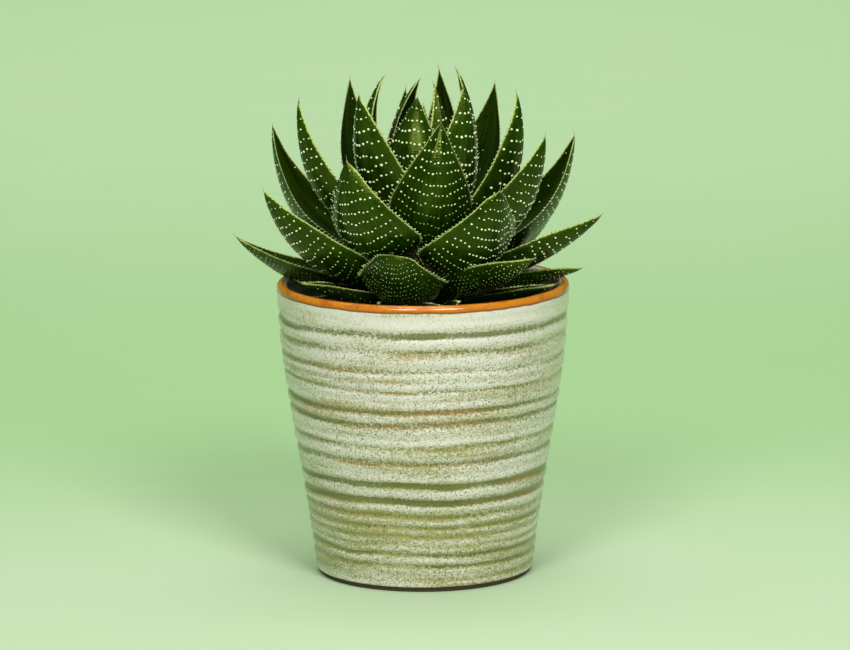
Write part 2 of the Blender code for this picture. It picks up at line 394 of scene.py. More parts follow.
def throwing_rings():
    tree, given = new_tree("throwing_rings", Height=0.131, Depth=0.001, Wander=0.001)
    place = put(tree, "GeometryNodeInputPosition").outputs[0]
    apart = put(tree, "ShaderNodeSeparateXYZ", {0: place}).outputs
    flat = put(tree, "ShaderNodeCombineXYZ", {0: apart[0], 1: apart[1]}).outputs[0]
    outward = vector_of(tree, "NORMALIZE", flat)
    level = put(tree, "ShaderNodeCombineXYZ", {2: sum_of(tree, "MULTIPLY", apart[2], 22.0)}).outputs[0]
    around = vector_of(tree, "ADD", outward, level)
    slow = sum_of(tree, "SUBTRACT", grain(tree, around, 1.1, 2.0, 0.5), 0.5)
    shift = sum_of(tree, "MULTIPLY", slow, sum_of(tree, "MULTIPLY", given["Wander"], 4.0))
    share = sum_of(tree, "DIVIDE", sum_of(tree, "ADD", apart[2], shift), given["Height"])
    curve = put(tree, "ShaderNodeFloatCurve", {0: 1.0, 1: share})
    spots = [(0.0, 1.0)]
    previous = 0.0
    for height, depth in GROOVES:
        spot = height * MM / rim_height
        spots += [((previous + spot) / 2, 1.0), (spot, 1.0 - depth)]
        previous = spot
    spots += [((previous + 1) / 2, 1.0)]
    line = curve.mapping.curves[0]
    for x, y in spots[1:]:
        line.points.new(x, y)
    line.points[0].location = spots[0]
    curve.mapping.update()
    press = sum_of(tree, "SUBTRACT", 1.0, curve.outputs[0])
    strength = spread(tree, grain(tree, around, 1.7, 1.0, 0.5), 0.3, 0.7, 0.85, 1.1)
    press = sum_of(tree, "MULTIPLY", press, strength)
    fine = vector_of(tree, "MULTIPLY", place, (12.0, 12.0, 420.0))
    ripple = sum_of(tree, "MULTIPLY", sum_of(tree, "SUBTRACT", grain(tree, fine, 1.0, 2.0, 0.5), 0.5), 0.35)
    on_wall_only = named_in(tree, "outer_wall")
    press = sum_of(tree, "MULTIPLY", sum_of(tree, "ADD", press, ripple), on_wall_only)
    amount = sum_of(tree, "MULTIPLY", press, sum_of(tree, "MULTIPLY", given["Depth"], -1.0))
    push = put(tree, "ShaderNodeVectorMath", {0: outward, "Scale": amount}, operation="SCALE").outputs[0]
    kept = put(
        tree, "GeometryNodeStoreNamedAttribute", {0: given[0], "Name": "groove", "Value": press}, domain="POINT"
    ).outputs[0]
    end_tree(tree, put(tree, "GeometryNodeSetPosition", {0: kept, "Offset": push}).outputs[0])
    return tree


# %% [markdown]
# ### Glaze
# The glaze is a cream stoneware glaze over iron-bearing clay. Where it runs thin over a ridge it is
# pale, where it pools in a groove it turns olive, and here and there iron breaks through as rust. Iron
# grains also bleed up as thousands of fine dark specks. The lip was wiped and dipped again, so it is
# amber. The material mixes all of that from the groove depth that the tree left on the mesh, the
# height on the pot and noise squeezed flat, so that every mark runs round the pot as on the wheel.

# %% Glaze finish
CREAM = (0.79, 0.70, 0.68)
CELADON = (0.36, 0.34, 0.13)
OLIVE = (0.11, 0.12, 0.006)
TAN = (0.50, 0.30, 0.09)
RUST = (0.36, 0.15, 0.03)
SPECK = (0.075, 0.06, 0.02)
AMBER = (0.70, 0.20, 0.010)
BURNT = (0.17, 0.028, 0.004)
AMBER_BAND = 3.3 * MM


def specks(tree, place, per_metre, size, share):
    """Dots: 1 inside a speck. size is a share of the cell and share is how many cells hold one."""
    cells = put(tree, "ShaderNodeTexVoronoi", {"Vector": place, "Scale": per_metre})
    near = spread(tree, cells.outputs["Distance"], size * 0.6, size, 1.0, 0.0)
    pick = put(tree, "ShaderNodeSeparateColor", {0: cells.outputs["Color"]}).outputs[0]
    return sum_of(tree, "MULTIPLY", near, sum_of(tree, "LESS_THAN", pick, share))


def glaze_finish():
    made, tree, shader = new_finish("glaze", IOR=1.52, Specular_IOR_Level=0.5, Coat_Weight=0.3, Coat_Roughness=0.12)
    place = object_place(tree)
    height = put(tree, "ShaderNodeSeparateXYZ", {0: place}).outputs[2]
    groove = named(tree, "groove")
    banded = grain(tree, object_place(tree, (14.0, 14.0, 190.0)), 1.0, 4.0, 0.6)
    mottled = grain(tree, object_place(tree, (1.0, 1.0, 1.4)), 850.0, 3.0, 0.65)
    cloud = grain(tree, object_place(tree, (1.0, 1.0, 3.0)), 26.0, 2.0)

    low_on_pot = spread(tree, height, 0.02, rim_height - 0.02, 0.65, 0.0, smooth=False)
    thick = sum_of(tree, "ADD", low_on_pot, spread(tree, banded, 0.35, 0.68, -0.35, 0.45))
    ragged = spread(tree, mottled, 0.32, 0.68, -0.5, 0.5)
    thick = sum_of(tree, "ADD", thick, ragged)
    thick = sum_of(tree, "ADD", thick, spread(tree, groove, 0.1, 0.7, -0.1, 0.45), clamp=True)
    colour = blend_colour(tree, thick, CREAM, CELADON)
    drips = spread(tree, grain(tree, object_place(tree, (1300.0, 1300.0, 260.0)), 1.0, 2.0), 0.5, 0.66)
    drips = sum_of(tree, "MULTIPLY", drips, spread(tree, banded, 0.47, 0.6, 0.0, 0.75))
    colour = blend_colour(tree, drips, colour, TAN)
    pooled = sum_of(tree, "ADD", groove, sum_of(tree, "MULTIPLY", ragged, 0.25))
    pooled = spread(tree, pooled, 0.48, 0.86, 0.0, 0.92)
    pooled = sum_of(tree, "MULTIPLY", pooled, spread(tree, cloud, 0.3, 0.6, 0.75, 1.0))
    colour = blend_colour(tree, pooled, colour, OLIVE)
    iron = spread(tree, grain(tree, object_place(tree, (9.0, 9.0, 60.0)), 1.0, 3.0), 0.52, 0.66)
    iron = sum_of(tree, "MULTIPLY", iron, spread(tree, groove, 0.15, 0.6))
    iron = sum_of(tree, "MULTIPLY", iron, spread(tree, mottled, 0.35, 0.6, 0.25, 0.85))
    colour = blend_colour(tree, iron, colour, RUST)

    flat_place = object_place(tree, (1.0, 1.0, 0.8))
    fine = sum_of(tree, "MULTIPLY", specks(tree, flat_place, 1400.0, 0.45, 0.7), 0.62)
    coarse = sum_of(tree, "MULTIPLY", specks(tree, flat_place, 780.0, 0.30, 0.35), 0.95)
    few_on_top = spread(tree, height, rim_height - 0.028, rim_height - 0.006, 1.0, 0.3)
    strength = sum_of(tree, "MULTIPLY", sum_of(tree, "MAXIMUM", fine, coarse), few_on_top)
    strength = sum_of(tree, "MULTIPLY", strength, spread(tree, cloud, 0.25, 0.6, 0.6, 1.0))
    colour = blend_colour(tree, strength, colour, SPECK)

    wavering = sum_of(tree, "MULTIPLY", sum_of(tree, "SUBTRACT", grain(tree, place, 90.0), 0.5), 1.2 * MM)
    lip = sum_of(tree, "ADD", height, wavering)
    band = spread(tree, lip, rim_height - AMBER_BAND - 0.2 * MM, rim_height - AMBER_BAND + 0.2 * MM)
    flat = vector_of(tree, "MULTIPLY", place, (1.0, 1.0, 0.0))
    out = put(tree, "ShaderNodeVectorMath", {0: flat}, operation="LENGTH").outputs["Value"]
    band = sum_of(tree, "MULTIPLY", band, spread(tree, out, rim_radius - wall * 0.85, rim_radius - wall * 0.7))
    burn = spread(tree, grain(tree, object_place(tree, (1.0, 1.0, 2.0)), 90.0, 4.0, 0.65), 0.45, 0.72, 0.0, 0.6)
    under = spread(tree, lip, rim_height - AMBER_BAND, rim_height - AMBER_BAND + 1.6 * MM, 1.0, 0.0)
    amber = blend_colour(tree, sum_of(tree, "MAXIMUM", burn, under), AMBER, BURNT)
    colour = blend_colour(tree, band, colour, amber)
    tree.links.new(colour, shader.inputs["Base Color"])

    satin = spread(tree, mottled, 0.3, 0.7, 0.24, 0.40)
    satin = sum_of(tree, "ADD", satin, sum_of(tree, "MULTIPLY", strength, 0.15))
    gloss = sum_of(tree, "MULTIPLY", band, -0.14)
    tree.links.new(sum_of(tree, "ADD", satin, gloss), shader.inputs["Roughness"])
    orange_peel = grain(tree, place, 330.0, 2.0)
    raise_grain(
        tree, shader,
        (orange_peel, 0.22 * MM, 0.5),
        (banded, 0.5 * MM, 0.5),
        (strength, 0.06 * MM, 0.6),
    )  # fmt: skip
    return made


def clay_finish():
    """The bare foot: dark, dry clay."""
    made, tree, shader = new_finish("bare_clay")
    place = object_place(tree)
    lumps = grain(tree, place, 700.0, 4.0, 0.7)
    tree.links.new(blend_colour(tree, lumps, (0.035, 0.022, 0.010), (0.10, 0.065, 0.03)), shader.inputs["Base Color"])
    tree.links.new(spread(tree, lumps, 0.3, 0.7, 0.7, 0.95), shader.inputs["Roughness"])
    raise_grain(tree, shader, (lumps, 0.3 * MM, 0.8))
    return made


glaze = glaze_finish()
bare_clay = clay_finish()
pot = new_piece("thrown_pot", pot_points, pot_faces, glaze, bare_clay)
spots = np.array(pot_points)
spot_radii = np.hypot(spots[:, 0], spots[:, 1])
outside = spot_radii > np.minimum(wall_curve(spots[:, 2]), rim_radius) - wall / 2
fade = np.clip((spots[:, 2] - foot_height) / (1.5 * MM), 0, 1)
fade *= np.clip((rim_height - 5 * MM - spots[:, 2]) / (2.5 * MM), 0, 1)
carry(pot.data, "outer_wall", outside * fade)
grown(pot, throwing_rings(), Height=rim_height, Depth=GROOVE_DEPTH, Wander=WANDER)
for face in pot.data.polygons:
    if face.center.z < foot_height - 0.02 * MM:
        face.material_index = 1
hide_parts("pot")
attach(pot, "root")
print("pot", len(pot.data.polygons), "faces,", len(GROOVES), "grooves")

# %% [markdown]
# ## The potting mix and the stem
# Succulents stand in a coarse mix: dark peat, bark crumbs and a little pale grit. The level surface is
# a turned disc whose top is roughened, and a tree scatters crumbs over it. Only the top is fine,
# because the wall hides the rest.

# %% Potting mix
SOIL_COLUMNS = 120
SOIL_RING = 1.6 * MM
CRUMBS_PER_M2 = 190000.0
CRUMB_SIZE = 1.25 * MM


def crumb_tree():
    tree, given = new_tree("crumbs", Density=1000.0, Size=0.001, Seed=3, Peat=None, Grit=None)
    place = put(tree, "GeometryNodeInputPosition").outputs[0]
    top = named_in(tree, "top")
    rough = sum_of(tree, "SUBTRACT", grain(tree, place, 260.0, 4.0, 0.6), 0.5)
    lift = sum_of(tree, "MULTIPLY", sum_of(tree, "MULTIPLY", rough, top), 3.2 * MM)
    offset = put(tree, "ShaderNodeCombineXYZ", {2: lift}).outputs[0]
    ground = put(tree, "GeometryNodeSetPosition", {0: given[0], "Offset": offset}).outputs[0]
    sown = put(
        tree, "GeometryNodeDistributePointsOnFaces",
        {0: ground, "Selection": top, "Density": given["Density"], "Seed": given["Seed"]},
    )  # fmt: skip
    parts = [put(tree, "GeometryNodeSetMaterial", {0: ground, "Material": given["Peat"]}).outputs[0]]
    for number, (material, keep, share) in enumerate((("Peat", 0.9, 1.0), ("Grit", 0.1, 0.75))):
        ball = put(tree, "GeometryNodeMeshIcoSphere", {0: given["Size"], 1: 1}).outputs[0]
        bent = put(tree, "ShaderNodeTexNoise", {"Vector": place, "Scale": 900.0 + 200 * number}).outputs["Color"]
        bend = vector_of(tree, "MULTIPLY", vector_of(tree, "SUBTRACT", bent, (0.5, 0.5, 0.5)), (0.0015,) * 3)
        stone = put(tree, "GeometryNodeSetPosition", {0: ball, "Offset": bend}).outputs[0]
        chance = put(
            tree, "FunctionNodeRandomValue", {"Probability": keep, "Seed": 11}, data_type="BOOLEAN"
        ).outputs[3]
        if number:
            chance = put(tree, "FunctionNodeBooleanMath", {0: old_chance}, operation="NOT").outputs[0]
        old_chance = chance
        size = put(
            tree, "FunctionNodeRandomValue",
            {0: (0.3 * share, 0.25 * share, 0.2 * share), 1: (1.2 * share, 0.9 * share, 0.6 * share), "Seed": 5},
            data_type="FLOAT_VECTOR",
        ).outputs[0]  # fmt: skip
        turn = put(
            tree, "FunctionNodeRandomValue", {0: (-0.7, -0.7, 0.0), 1: (0.7, 0.7, 6.28), "Seed": 6},
            data_type="FLOAT_VECTOR",
        ).outputs[0]  # fmt: skip
        set_down = put(
            tree, "GeometryNodeInstanceOnPoints",
            {0: sown.outputs[0], "Selection": chance, "Instance": stone, "Rotation": turn, "Scale": size},
        ).outputs[0]  # fmt: skip
        parts.append(instances_made_real(tree, set_down, given[material]))
    joined = tree.nodes.new("GeometryNodeJoinGeometry")
    for part in reversed(parts):
        tree.links.new(part, joined.inputs[0])
    end_tree(tree, joined.outputs[0])
    return tree


def mix_finish(name, dark, light, rough):
    """Dry and granular: peat, or with paler colours the grit."""
    made, tree, shader = new_finish(name)
    lumps = grain(tree, object_place(tree), 450.0, 5.0, 0.7)
    blotch = spread(tree, grain(tree, object_place(tree), 130.0, 3.0), 0.35, 0.65)
    colour = blend_colour(tree, spread(tree, lumps, 0.3, 0.7), dark, light)
    tree.links.new(blend_colour(tree, sum_of(tree, "MULTIPLY", blotch, 0.5), colour, dark), shader.inputs["Base Color"])
    tree.links.new(spread(tree, lumps, 0.3, 0.7, rough, 1.0), shader.inputs["Roughness"])
    raise_grain(tree, shader, (lumps, 0.5 * MM, 0.9))
    return made


soil_radius = soil_high.x
soil_rings = np.arange(SOIL_RING, soil_radius - 0.3 * MM, SOIL_RING).tolist()
soil_profile = [(0, soil_high.z - 0.9 * MM)] + [(r, soil_high.z - 0.9 * MM) for r in soil_rings]
side_heights = (soil_high.z - 1.5 * MM, soil_high.z - 12 * MM, soil_low.z + 40 * MM, soil_low.z + 8 * MM, soil_low.z)
inner_gap = 0.8 * MM
soil_profile += [(min(wall_curve(z), rim_radius) - wall - inner_gap, z) for z in side_heights]
soil_profile.append((0, soil_low.z))
soil_points, soil_faces = turned(soil_profile, SOIL_COLUMNS)
peat = mix_finish("peat", (0.010, 0.007, 0.004), (0.055, 0.036, 0.02), 0.8)
grit = mix_finish("grit", (0.16, 0.12, 0.08), (0.42, 0.36, 0.27), 0.6)
soil = new_piece("loose_mix", soil_points, soil_faces, peat, grit)
soil_spots = np.array(soil_points)
carry(soil.data, "top", (soil_spots[:, 2] > soil_high.z - 1.2 * MM).astype(float))
grown(soil, crumb_tree(), Density=CRUMBS_PER_M2, Size=CRUMB_SIZE, Peat=peat, Grit=grit)
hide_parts("potting_mix")
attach(soil, "root")
print("potting mix", len(soil.data.polygons), "faces")

# %% Stem
STEM_COLUMNS = 48
stem_low, stem_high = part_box("stem")
stem_points = np.array([v.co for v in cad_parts["stem"].data.vertices])
stem_levels = np.unique(stem_points[:, 2].round(5))
stem_radii = [
    np.hypot(*stem_points[np.isclose(stem_points[:, 2], z, atol=0.01 * MM)][:, :2].T).max() for z in stem_levels
]


def stem_profile():
    """Ringed by the scars of old leaves, each one a low shelf."""
    scar = 2.2 * MM
    profile = [(0, stem_high.z)]
    for z in np.linspace(stem_high.z - 0.2 * MM, stem_low.z, 110):
        shelf = 0.35 * MM * ((z / scar) % 1.0)
        profile.append((max(np.interp(z, stem_levels, stem_radii) - shelf, 0.5 * MM), z))
    return profile + [(0, stem_low.z)]


def stem_finish():
    made, tree, shader = new_finish("old_stem")
    strands = grain(tree, object_place(tree, (500.0, 500.0, 60.0)), 1.0, 4.0)
    tree.links.new(blend_colour(tree, strands, (0.10, 0.12, 0.04), (0.33, 0.30, 0.14)), shader.inputs["Base Color"])
    tree.links.new(spread(tree, strands, 0.3, 0.7, 0.55, 0.8), shader.inputs["Roughness"])
    raise_grain(tree, shader, (strands, 0.4 * MM, 0.7))
    return made


stem = new_piece("short_stem", *turned(stem_profile(), STEM_COLUMNS), stem_finish())
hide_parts("stem")
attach(stem, "root")
print("stem", len(stem.data.polygons), "faces")

# %% [markdown]
# ## Leaves
# A lace aloe's leaf is a plump blade, hollow above and keeled below, that narrows to a dry bristle.
# Pale teeth edge it, and the outer face carries white bumps in wavy rows, the lace of its name. The
# frame's leaf is nine coarse rings and a tip. From each ring come four points: both margins, the
# middle of the upper face and the keel. Smooth curves through those four give a blade as fine as
# wanted that keeps the frame's shape exactly. A single modelled leaf copied round would be quicker,
# but no two leaves here have the same width, arch or lean.


# %% Reading a leaf off the frame
def rings_of(node):
    """The rings of a frame leaf from base to tip, as lists of points, and its tip."""
    shape = bmesh.new()
    shape.from_mesh(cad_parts[node].data)
    bmesh.ops.remove_doubles(shape, verts=shape.verts, dist=0.005 * MM)
    foot = min(shape.verts, key=lambda v: math.hypot(v.co.x, v.co.y)).co.copy()
    corners = [v for v in shape.verts if len(v.link_edges) == 8]
    tip = max(corners, key=lambda v: (v.co - foot).length)
    seen, layer, rings = {tip}, [tip], []
    while layer:
        layer = list({e.other_vert(v) for v in layer for e in v.link_edges} - seen)
        seen.update(layer)
        if layer:
            rings.append([v.co.copy() for v in layer])
    point = tip.co.copy()
    shape.free()
    return rings[::-1], point


def guides_of(node):
    """Left margin, right margin, middle of the upper face and keel at each ring; all end at the tip."""
    rings, tip = rings_of(node)
    centres = [sum(ring, Vector()) / len(ring) for ring in rings] + [tip]
    guides, last_side = [], None
    for number, ring in enumerate(rings):
        pairs = [(a, b) for i, a in enumerate(ring) for b in ring[i + 1 :]]
        left, right = max(pairs, key=lambda pair: (pair[0] - pair[1]).length)
        if last_side and (right - left).dot(last_side) < 0:
            left, right = right, left
        side = (right - left).normalized()
        middle = (left + right) / 2
        by_side = sorted(ring, key=lambda p: abs((p - middle).dot(side)))
        upper, keel = sorted(by_side[:2], key=lambda p: (p - middle).length)
        forward = (centres[number + 1] - centres[number]).normalized()
        if not last_side and side.cross(forward).dot(upper - keel) < 0:
            left, right, side = right, left, -side
        last_side = side
        guides.append((left, right, upper, keel))
    guides.append((tip, tip, tip, tip))
    return np.array(guides), np.array(centres)


def through(knots, points, at):
    """A smooth curve through points: one cubic between each two, with shared slopes."""
    slopes = np.gradient(points, knots, axis=0)
    i = np.clip(np.searchsorted(knots, at, side="right") - 1, 0, len(knots) - 2)
    span = (knots[i + 1] - knots[i])[:, None]
    s = ((at - knots[i]))[:, None] / span
    start = (1 + 2 * s) * (1 - s) ** 2 * points[i] + s * (1 - s) ** 2 * span * slopes[i]
    return start + s**2 * (3 - 2 * s) * points[i + 1] - s**2 * (1 - s) * span * slopes[i + 1]


# %% Blade mesh
STATIONS = 54
ACROSS = 16
EDGE_ROUND = 0.16 * MM
BRISTLE = 2.6 * MM
BRISTLE_RADIUS = 0.16 * MM
LEAF_UV_GAP = 0.52


def blade(name, node, chance, materials):
    """The fine leaf: upper and lower face share their margins and run together at the tip."""
    guides, centres = guides_of(node)
    steps = np.linalg.norm(np.diff(centres, axis=0), axis=1)
    knots = np.concatenate([[0], np.cumsum(steps)])
    length = knots[-1]
    at = (1 - (1 - np.linspace(0, 1, STATIONS)) ** 1.25) * length * 0.992
    left, right, upper, keel = (through(knots, guides[:, k], at) for k in range(4))
    middle = (left + right) / 2
    half = np.linalg.norm(right - left, axis=1) / 2
    side = (right - left) / (2 * half[:, None])
    forward = np.gradient((middle + keel) / 2, at, axis=0)
    forward /= np.linalg.norm(forward, axis=1)[:, None]
    above = np.cross(side, forward)
    above /= np.linalg.norm(above, axis=1)[:, None]
    wave = chance.uniform(0, 6.28)
    ripple = 0.12 * MM * np.sin(at / length * chance.uniform(14, 20) + wave) * np.minimum(1, half / (6 * MM))
    columns = np.sin(np.linspace(-math.pi / 2, math.pi / 2, ACROSS + 1))
    points, across, along, outer, edge, halves, rows = [], [], [], [], [], [], []
    for k in range(STATIONS):
        t = at[k] / length
        loop = [(x, 0) for x in columns] + [(x, 1) for x in columns[-2:0:-1]]
        row = []
        for x, lower in loop:
            crown = keel[k] if lower else upper[k]
            point = crown + (middle[k] - crown) * x**2 + side[k] * half[k] * x
            puff = EDGE_ROUND * (1 - x**6) + ripple[k] * x**2
            point = point + above[k] * (-EDGE_ROUND * (1 - x**6) + ripple[k] * x**2 if lower else puff)
            row.append(len(points))
            points.append(point)
            across.append(x)
            along.append(t)
            outer.append(float(lower or abs(x) == 1))
            edge.append((1 - abs(x)) * half[k] / MM)
            halves.append(half[k])
        rows.append(row)
    count = len(rows[0])
    faces, uvs, slots = [], [], []
    for near, far in zip(rows, rows[1:]):
        for i in range(count):
            j = (i + 1) % count
            quad = (near[i], near[j], far[j], far[i])
            lower = i >= ACROSS
            faces.append(quad[::-1])
            shift = 0 if lower else LEAF_UV_GAP
            uvs += [(shift + 0.24 + 0.24 * across[v], along[v]) for v in quad[::-1]]
            slots.append(0)
    faces.append(tuple(rows[0]))
    uvs += [(0.5, 0.0)] * count
    slots.append(0)
    lean = forward[-1] + side[-1] * chance.uniform(-0.12, 0.12) + above[-1] * chance.uniform(-0.05, 0.2)
    lean /= np.linalg.norm(lean)
    heart = np.mean([points[v] for v in rows[-1]], axis=0)
    start = np.array([points[v] for v in rows[-1]]) - heart
    reach = BRISTLE * chance.uniform(0.6, 1.3) + 0.008 * length
    last = rows[-1]
    for step in (0.25, 0.5, 0.75, 0.93):
        centre = heart + (forward[-1] * (1 - step) + lean * step) * reach * step
        ring = []
        for v, spoke in zip(last, start):
            thin = BRISTLE_RADIUS * (1 - step * 0.75) / max(np.linalg.norm(spoke), 1e-9)
            ring.append(len(points))
            points.append(centre + spoke * min(thin, 1.0))
            across.append(across[v])
            along.append(1.0)
            outer.append(1.0)
            edge.append(0.0)
            halves.append(0.0)
        for i in range(count):
            j = (i + 1) % count
            faces.append((last[i], last[j], ring[j], ring[i])[::-1])
            uvs += [(0.99, 0.99)] * 4
            slots.append(1)
        last = ring
    faces.append(tuple(last)[::-1])
    uvs += [(0.99, 0.99)] * count
    slots.append(1)
    piece = new_piece(name, points, faces, *materials)
    mesh = piece.data
    mesh.polygons.foreach_set("material_index", slots)
    layer = mesh.uv_layers.new(name="UVMap")
    layer.data.foreach_set("uv", np.array(uvs, np.float32).ravel())
    carry(mesh, "along", along)
    carry(mesh, "outer_face", outer)
    carry(mesh, "edge_mm", edge)
    carry(mesh, "half", halves)
    carry(mesh, "tone", [chance.uniform(0, 1)] * len(points))
    carry(mesh, "margin", [x if abs(x) == 1 and t < 1 else 0 for x, t in zip(across, along)])
    tooth_lean = np.zeros((len(points), 3))
    station = np.arange(STATIONS)
    for column, sign in ((0, -1), (ACROSS, 1)):
        ends = np.array([rows[k][column] for k in station])
        tooth_lean[ends] = side * sign + forward * 0.7
    carry(mesh, "tooth_lean", tooth_lean, "FLOAT_VECTOR")
    carry(mesh, "sideways", np.concatenate([np.repeat(side, count, axis=0), np.zeros((4 * count, 3))]), "FLOAT_VECTOR")
    return piece, length, half.max()


# %% [markdown]
# ### The lace and the teeth
# One tree dresses every leaf. It lays a flat grid of rows out at the leaf's own length and width, so
# that the bumps keep their spacing on wide and narrow leaves alike, drops what falls outside the
# outline, bends the rows into shallow scallops, and then reads each point's place and normal off the
# leaf through its UV map. The teeth follow the margins as curves. Both shapes are a few faces each,
# since there are hundreds on a leaf.


# %% Lace and tooth tree
def sampled(tree, blade_mesh, value, where, kind):
    """A value read off the blade at a place on its UV map."""
    uv = named_in(tree, "UVMap", "FLOAT_VECTOR")
    inputs = {0: blade_mesh, 1: value, 2: uv, 3: where}
    return put(tree, "GeometryNodeSampleUVSurface", inputs, data_type=kind)


def random_in(tree, low, high, seed, given):
    turned_seed = put(tree, "ShaderNodeMath", {0: given["Seed"], 1: float(seed)}, operation="ADD").outputs[0]
    number = put(tree, "FunctionNodeFloatToInt", {0: turned_seed}).outputs[0]
    inputs = {2: low, 3: high, "Seed": number}
    return put(tree, "FunctionNodeRandomValue", inputs, data_type="FLOAT").outputs[1]


def bumps_on(tree, given, face_start, share_kept, size_share):
    """Rows of bumps on one face of the blade, as instances."""
    wide = sum_of(tree, "MULTIPLY", given["Half Width"], 2.0)
    columns = put(tree, "FunctionNodeFloatToInt", {0: sum_of(tree, "DIVIDE", wide, given["Dot Pitch"])}).outputs[0]
    lines = put(
        tree, "FunctionNodeFloatToInt", {0: sum_of(tree, "DIVIDE", given["Length"], given["Row Pitch"])}
    ).outputs[0]
    flat = put(tree, "GeometryNodeMeshGrid", {0: wide, 1: given["Length"], 2: columns, 3: lines}).outputs[0]
    place = put(tree, "ShaderNodeSeparateXYZ", {0: put(tree, "GeometryNodeInputPosition").outputs[0]}).outputs
    step = sum_of(tree, "DIVIDE", place[1], given["Row Pitch"])
    row = sum_of(tree, "ROUND", step)
    row_shift = sum_of(tree, "SUBTRACT", sum_of(tree, "FRACT", sum_of(tree, "MULTIPLY", row, 0.618)), 0.5)
    jitter = sum_of(tree, "MULTIPLY", given["Scatter"], random_in(tree, -1.0, 1.0, 1, given))
    x = sum_of(tree, "ADD", place[0], sum_of(tree, "MULTIPLY", sum_of(tree, "ADD", row_shift, jitter), given["Dot Pitch"]))
    shake = sum_of(tree, "MULTIPLY", given["Scatter"], random_in(tree, -0.5, 0.5, 2, given))
    drift = put(
        tree, "ShaderNodeCombineXYZ",
        {0: sum_of(tree, "MULTIPLY", x, 190.0), 1: sum_of(tree, "MULTIPLY", row, 0.37), 2: given["Seed"]},
    ).outputs[0]  # fmt: skip
    wave = sum_of(tree, "MULTIPLY", sum_of(tree, "SUBTRACT", grain(tree, drift, 1.0, 1.0), 0.5), 1.1)
    edge_share = sum_of(tree, "DIVIDE", x, given["Half Width"])
    scallop = sum_of(tree, "MULTIPLY", sum_of(tree, "MULTIPLY", edge_share, edge_share), 1.3)
    rise = sum_of(tree, "ADD", sum_of(tree, "ADD", wave, shake), scallop)
    y = sum_of(tree, "ADD", place[1], sum_of(tree, "MULTIPLY", rise, given["Row Pitch"]))
    v = sum_of(tree, "ADD", sum_of(tree, "DIVIDE", y, given["Length"]), 0.5)
    spine = put(tree, "ShaderNodeCombineXYZ", {0: face_start + 0.24, 1: v}).outputs[0]
    half = sampled(tree, given[0], named_in(tree, "half"), spine, "FLOAT").outputs[0]
    safe = sum_of(tree, "MAXIMUM", half, 0.2 * MM)
    share = sum_of(tree, "DIVIDE", x, safe)
    u = sum_of(tree, "ADD", sum_of(tree, "MULTIPLY", share, 0.24), face_start + 0.24)
    where = put(tree, "ShaderNodeCombineXYZ", {0: u, 1: v}).outputs[0]
    normal = sampled(tree, given[0], put(tree, "GeometryNodeInputNormal").outputs[0], where, "FLOAT_VECTOR")
    point = sampled(tree, given[0], put(tree, "GeometryNodeInputPosition").outputs[0], where, "FLOAT_VECTOR")
    beside = sampled(tree, given[0], named_in(tree, "sideways", "FLOAT_VECTOR"), where, "FLOAT_VECTOR")

    inside = sum_of(tree, "LESS_THAN", sum_of(tree, "ABSOLUTE", share), 0.9)
    bare_edge = sum_of(tree, "GREATER_THAN", sum_of(tree, "SUBTRACT", safe, sum_of(tree, "ABSOLUTE", x)), 0.7 * MM)
    inside = sum_of(tree, "MULTIPLY", inside, bare_edge)
    in_length = sum_of(tree, "MULTIPLY", sum_of(tree, "GREATER_THAN", v, given["Start"]), sum_of(tree, "LESS_THAN", v, 0.95))
    stays = sum_of(tree, "LESS_THAN", random_in(tree, 0.0, 1.0, 3, given), sum_of(tree, "MULTIPLY", given["Fullness"], share_kept))
    keep = sum_of(tree, "MULTIPLY", sum_of(tree, "MULTIPLY", inside, in_length), stays)
    drop = sum_of(tree, "SUBTRACT", 1.0, keep)

    held = put(tree, "GeometryNodeCaptureAttribute", {0: flat}, domain="POINT")
    for name, kind, value in (
        ("Normal", "VECTOR", normal.outputs[0]),
        ("Point", "VECTOR", point.outputs[0]),
        ("Beside", "VECTOR", beside.outputs[0]),
        ("V", "FLOAT", v),
        ("Drop", "FLOAT", drop),
    ):
        held.capture_items.new(kind, name)
        tree.links.new(value, held.inputs[name])
    kept = put(tree, "GeometryNodeDeleteGeometry", {0: held.outputs[0], 1: held.outputs["Drop"]}, domain="POINT").outputs[0]
    set_out = put(tree, "GeometryNodeSetPosition", {0: kept, "Position": held.outputs["Point"]}).outputs[0]
    faded = spread(tree, held.outputs["V"], given["White From"], sum_of(tree, "ADD", given["White From"], 0.4))
    marked = put(
        tree, "GeometryNodeStoreNamedAttribute", {0: set_out, "Name": "bright", "Value": faded}, domain="POINT"
    ).outputs[0]
    standing = put(
        tree, "FunctionNodeAlignRotationToVector", {"Vector": held.outputs["Normal"]}, axis="Z"
    ).outputs[0]
    facing = put(
        tree, "FunctionNodeAlignRotationToVector", {0: standing, "Vector": held.outputs["Beside"]},
        axis="X", pivot_axis="Z",
    ).outputs[0]  # fmt: skip
    size = random_in(tree, 0.7, 1.15, 4, given)
    size = sum_of(tree, "MULTIPLY", size, spread(tree, held.outputs["V"], 0.1, 0.55, 0.65 * size_share, size_share))
    size = sum_of(tree, "MULTIPLY", size, spread(tree, held.outputs["V"], 0.75, 0.97, 1.0, 0.6))
    longer = random_in(tree, 0.95, 1.25, 5, given)
    scale = put(
        tree, "ShaderNodeCombineXYZ",
        {0: sum_of(tree, "MULTIPLY", size, longer), 1: size, 2: sum_of(tree, "MULTIPLY", size, 0.75)},
    ).outputs[0]  # fmt: skip
    ball = put(tree, "GeometryNodeMeshIcoSphere", {0: sum_of(tree, "MULTIPLY", given["Dot Size"], 0.5), 1: 1}).outputs[0]
    return put(
        tree, "GeometryNodeInstanceOnPoints", {0: marked, "Instance": ball, "Rotation": facing, "Scale": scale}
    ).outputs[0]


